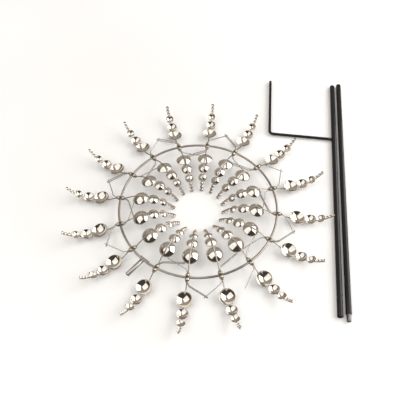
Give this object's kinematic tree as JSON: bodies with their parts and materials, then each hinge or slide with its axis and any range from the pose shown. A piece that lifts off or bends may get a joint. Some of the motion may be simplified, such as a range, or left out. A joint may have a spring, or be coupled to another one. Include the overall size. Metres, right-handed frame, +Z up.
{
  "type": "wind spinner",
  "caption": "Wind spinner head, a ring of linked turning arms with hollow wind cups, laid flat beside its two-section black ground stake with a step prong.",
  "frame": {"origin": "middle of the kit's footprint, on the surface it lies on", "axes": "+Z up through the flat-lying head, +Y along the two stake sections towards their ground end and ring-end mouths, +X from the head towards the stake"},
  "size_m": [0.3604, 0.423, 0.0237],
  "materials": {
    "polished_steel": "mirror-polished stainless steel cups and wire",
    "ring_steel": "drawn steel wire, dull, slightly brown",
    "hub_brass": "aged brass, darker in the grooves",
    "stem_steel": "brushed steel with heat marks at the weld",
    "black_gloss": "gloss black coating over steel tube",
    "spigot_steel": "zinc-plated steel, dull"
  },
  "bodies": {
    "spinner_frame": {"ring": "ring_steel", "stem": "stem_steel"},
    "unit_01": {"hub_01": "hub_brass", "outer_arm_01": "polished_steel", "inner_arm_01": "polished_steel"},
    "unit_02": {"hub_02": "hub_brass", "outer_arm_02": "polished_steel", "inner_arm_02": "polished_steel"},
    "unit_03": {"hub_03": "hub_brass", "outer_arm_03": "polished_steel", "inner_arm_03": "polished_steel"},
    "unit_04": {"hub_04": "hub_brass", "outer_arm_04": "polished_steel", "inner_arm_04": "polished_steel"},
    "unit_05": {"hub_05": "hub_brass", "outer_arm_05": "polished_steel", "inner_arm_05": "polished_steel"},
    "unit_06": {"hub_06": "hub_brass", "outer_arm_06": "polished_steel", "inner_arm_06": "polished_steel"},
    "unit_07": {"hub_07": "hub_brass", "outer_arm_07": "polished_steel", "inner_arm_07": "polished_steel"},
    "unit_08": {"hub_08": "hub_brass", "outer_arm_08": "polished_steel", "inner_arm_08": "polished_steel"},
    "unit_09": {"hub_09": "hub_brass", "outer_arm_09": "polished_steel", "inner_arm_09": "polished_steel"},
    "unit_10": {"hub_10": "hub_brass", "outer_arm_10": "polished_steel", "inner_arm_10": "polished_steel"},
    "unit_11": {"hub_11": "hub_brass", "outer_arm_11": "polished_steel", "inner_arm_11": "polished_steel"},
    "unit_12": {"hub_12": "hub_brass", "outer_arm_12": "polished_steel", "inner_arm_12": "polished_steel"},
    "unit_13": {"hub_13": "hub_brass", "outer_arm_13": "polished_steel", "inner_arm_13": "polished_steel"},
    "unit_14": {"hub_14": "hub_brass", "outer_arm_14": "polished_steel", "inner_arm_14": "polished_steel"},
    "unit_15": {"hub_15": "hub_brass", "outer_arm_15": "polished_steel", "inner_arm_15": "polished_steel"},
    "unit_16": {"hub_16": "hub_brass", "outer_arm_16": "polished_steel", "inner_arm_16": "polished_steel"},
    "lower_stake": {"lower_pole": "black_gloss", "stop_plug": "spigot_steel", "step_prong": "black_gloss"},
    "upper_stake": {"upper_pole": "black_gloss", "pole_spigot": "spigot_steel"}
  },
  "joints": [
    {"name": "unit_01_spin", "type": "hinge", "parent": "spinner_frame", "child": "unit_01", "pos_m": [-0.04796, 0.05145, 0.01196], "axis": [-0.9239, -0.3827, 0], "continuous": true},
    {"name": "unit_02_spin", "type": "hinge", "parent": "spinner_frame", "child": "unit_02", "pos_m": [-0.00969, 0.05906, 0.01196], "axis": [-1, 0, 0], "continuous": true},
    {"name": "unit_03_spin", "type": "hinge", "parent": "spinner_frame", "child": "unit_03", "pos_m": [0.02858, 0.05145, 0.01196], "axis": [-0.9239, 0.3827, 0], "continuous": true},
    {"name": "unit_04_spin", "type": "hinge", "parent": "spinner_frame", "child": "unit_04", "pos_m": [0.06102, 0.02977, 0.01196], "axis": [-0.7071, 0.7071, 0], "continuous": true},
    {"name": "unit_05_spin", "type": "hinge", "parent": "spinner_frame", "child": "unit_05", "pos_m": [0.0827, -0.00267, 0.01196], "axis": [-0.3827, 0.9239, 0], "continuous": true},
    {"name": "unit_06_spin", "type": "hinge", "parent": "spinner_frame", "child": "unit_06", "pos_m": [0.09031, -0.04094, 0.01196], "axis": [0, 1, 0], "continuous": true},
    {"name": "unit_07_spin", "type": "hinge", "parent": "spinner_frame", "child": "unit_07", "pos_m": [0.0827, -0.07921, 0.01196], "axis": [0.3827, 0.9239, 0], "continuous": true},
    {"name": "unit_08_spin", "type": "hinge", "parent": "spinner_frame", "child": "unit_08", "pos_m": [0.06102, -0.11165, 0.01196], "axis": [0.7071, 0.7071, 0], "continuous": true},
    {"name": "unit_09_spin", "type": "hinge", "parent": "spinner_frame", "child": "unit_09", "pos_m": [0.02858, -0.13333, 0.01196], "axis": [0.9239, 0.3827, 0], "continuous": true},
    {"name": "unit_10_spin", "type": "hinge", "parent": "spinner_frame", "child": "unit_10", "pos_m": [-0.00969, -0.14094, 0.01196], "axis": [1, 0, 0], "continuous": true},
    {"name": "unit_11_spin", "type": "hinge", "parent": "spinner_frame", "child": "unit_11", "pos_m": [-0.04796, -0.13333, 0.01196], "axis": [0.9239, -0.3827, 0], "continuous": true},
    {"name": "unit_12_spin", "type": "hinge", "parent": "spinner_frame", "child": "unit_12", "pos_m": [-0.0804, -0.11165, 0.01196], "axis": [0.7071, -0.7071, 0], "continuous": true},
    {"name": "unit_13_spin", "type": "hinge", "parent": "spinner_frame", "child": "unit_13", "pos_m": [-0.10208, -0.07921, 0.01196], "axis": [0.3827, -0.9239, 0], "continuous": true},
    {"name": "unit_14_spin", "type": "hinge", "parent": "spinner_frame", "child": "unit_14", "pos_m": [-0.10969, -0.04094, 0.01196], "axis": [0, -1, 0], "continuous": true},
    {"name": "unit_15_spin", "type": "hinge", "parent": "spinner_frame", "child": "unit_15", "pos_m": [-0.10208, -0.00267, 0.01196], "axis": [-0.3827, -0.9239, 0], "continuous": true},
    {"name": "unit_16_spin", "type": "hinge", "parent": "spinner_frame", "child": "unit_16", "pos_m": [-0.0804, 0.02977, 0.01196], "axis": [-0.7071, -0.7071, 0], "continuous": true},
    {"name": "lower_stake_lift", "type": "slide", "parent": "spinner_frame", "child": "lower_stake", "axis": [0, 0, 1], "range_m": [0, 0.1]},
    {"name": "upper_stake_lift", "type": "slide", "parent": "spinner_frame", "child": "upper_stake", "axis": [0, 0, 1], "range_m": [0, 0.1]}
  ],
  "couplings": [
    {"joint": "unit_02_spin", "follows": "unit_01_spin", "ratio": 1},
    {"joint": "unit_03_spin", "follows": "unit_01_spin", "ratio": 1},
    {"joint": "unit_04_spin", "follows": "unit_01_spin", "ratio": 1},
    {"joint": "unit_05_spin", "follows": "unit_01_spin", "ratio": 1},
    {"joint": "unit_06_spin", "follows": "unit_01_spin", "ratio": 1},
    {"joint": "unit_07_spin", "follows": "unit_01_spin", "ratio": 1},
    {"joint": "unit_08_spin", "follows": "unit_01_spin", "ratio": 1},
    {"joint": "unit_10_spin", "follows": "unit_09_spin", "ratio": 1},
    {"joint": "unit_11_spin", "follows": "unit_09_spin", "ratio": 1},
    {"joint": "unit_12_spin", "follows": "unit_01_spin", "ratio": 1},
    {"joint": "unit_13_spin", "follows": "unit_01_spin", "ratio": 1},
    {"joint": "unit_14_spin", "follows": "unit_01_spin", "ratio": 1},
    {"joint": "unit_15_spin", "follows": "unit_01_spin", "ratio": 1},
    {"joint": "unit_16_spin", "follows": "unit_01_spin", "ratio": 1}
  ]
}
